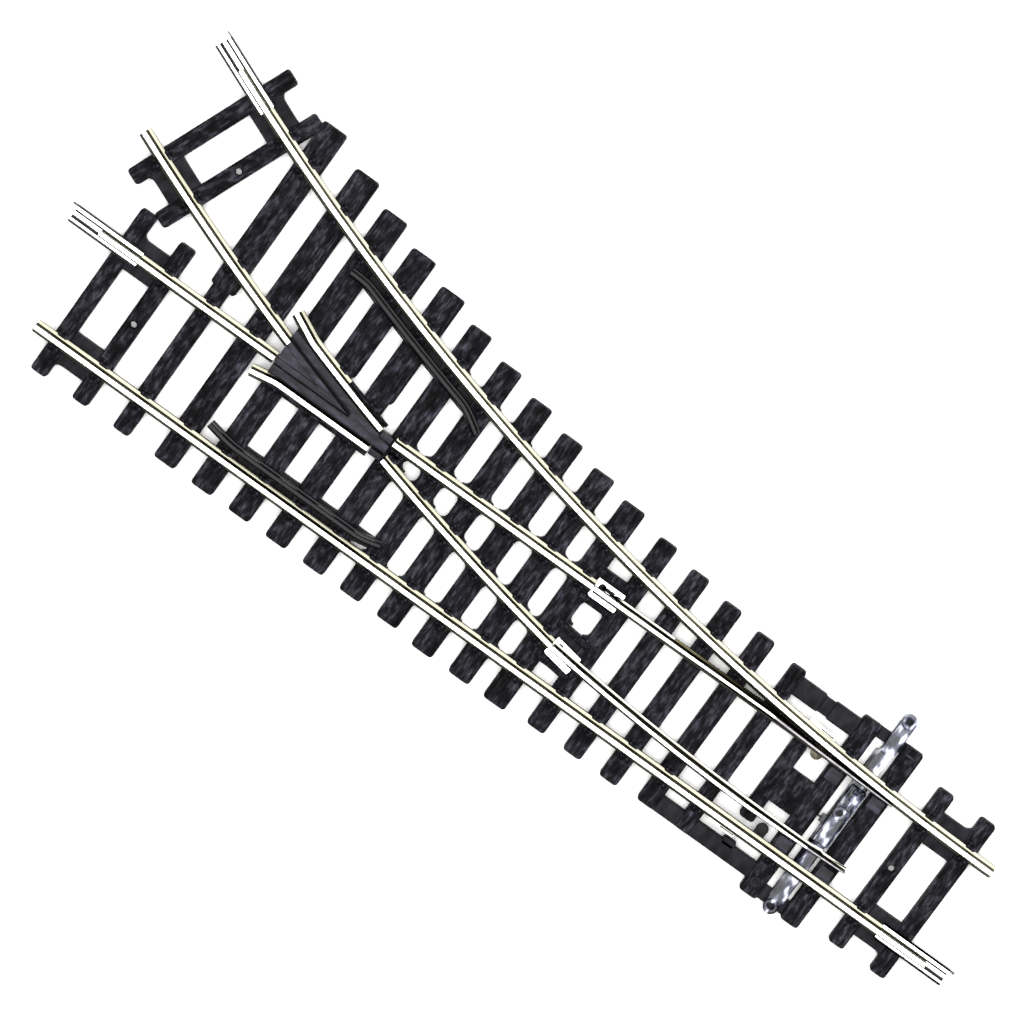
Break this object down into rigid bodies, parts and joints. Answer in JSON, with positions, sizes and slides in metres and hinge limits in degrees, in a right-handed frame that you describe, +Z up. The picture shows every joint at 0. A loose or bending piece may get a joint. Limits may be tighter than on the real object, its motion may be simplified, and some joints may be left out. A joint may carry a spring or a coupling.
{
  "type": "model railway turnout",
  "caption": "Right-hand model railway turnout: flat-bottom rails on a moulded sleeper base, two pivoted switch blades and a sliding tie bar.",
  "frame": {"origin": "on the straight route's centre line at the toe rail joint, in the plane of the underside that lies on the baseboard", "axes": "+X along the straight route from toe to heel, +Y to the left of travel, +Z up; the diverging route turns towards -Y"},
  "size_m": [0.1784, 0.0624, 0.0046],
  "materials": {
    "sleeper_plastic": "matte black moulding with a fine timber grain",
    "crossing_plastic": "smooth dark blue-grey moulding",
    "check_rail_plastic": "smooth black moulding",
    "tie_bar_plastic": "glossy blue-grey moulding",
    "nickel_silver": "drawn nickel silver with a bright polished head",
    "bright_steel": "bright folded sheet metal",
    "phosphor_bronze": "dull spring bronze"
  },
  "bodies": {
    "root": {"sleeper_base": "sleeper_plastic", "straight_stock_rail": "nickel_silver", "curved_stock_rail": "nickel_silver", "straight_closure_rail": "nickel_silver", "curved_closure_rail": "nickel_silver", "straight_wing_rail": "nickel_silver", "curved_wing_rail": "nickel_silver", "straight_vee_rail": "nickel_silver", "curved_vee_rail": "nickel_silver", "crossing_insert": "crossing_plastic", "straight_check_rail": "check_rail_plastic", "curved_check_rail": "check_rail_plastic", "over_centre_spring": "phosphor_bronze", "straight_pivot_joiner": "bright_steel", "curved_pivot_joiner": "bright_steel", "straight_pivot_pin": "bright_steel", "curved_pivot_pin": "bright_steel", "toe_rail_joiner": "bright_steel", "heel_rail_joiner": "bright_steel", "diverging_rail_joiner": "bright_steel", "straight_contact_clip": "phosphor_bronze", "curved_contact_clip": "phosphor_bronze", "straight_jumper_strap": "phosphor_bronze", "curved_jumper_strap": "phosphor_bronze"},
    "tie_bar": {"tie_bar": "tie_bar_plastic"},
    "straight_blade": {"straight_switch_blade": "nickel_silver", "straight_blade_lug": "bright_steel"},
    "curved_blade": {"curved_switch_blade": "nickel_silver", "curved_blade_lug": "bright_steel"}
  },
  "joints": [
    {"name": "tie_bar_throw", "type": "slide", "parent": "root", "child": "tie_bar", "axis": [0, 1, 0], "range_m": [0, 0.0033], "deforming": ["over_centre_spring"]},
    {"name": "straight_blade_swing", "type": "hinge", "parent": "root", "child": "straight_blade", "pos_m": [0.0742, -0.00875, 0.0025], "axis": [0, 0, 1], "range_deg": [-3.8, 0]},
    {"name": "curved_blade_swing", "type": "hinge", "parent": "root", "child": "curved_blade", "pos_m": [0.0742, 0.00254, 0.0025], "axis": [0, 0, 1], "range_deg": [-3.8, 0]}
  ],
  "couplings": [
    {"joint": "straight_blade_swing", "follows": "tie_bar_throw", "rad_per_m": -20},
    {"joint": "curved_blade_swing", "follows": "tie_bar_throw", "rad_per_m": -20}
  ]
}
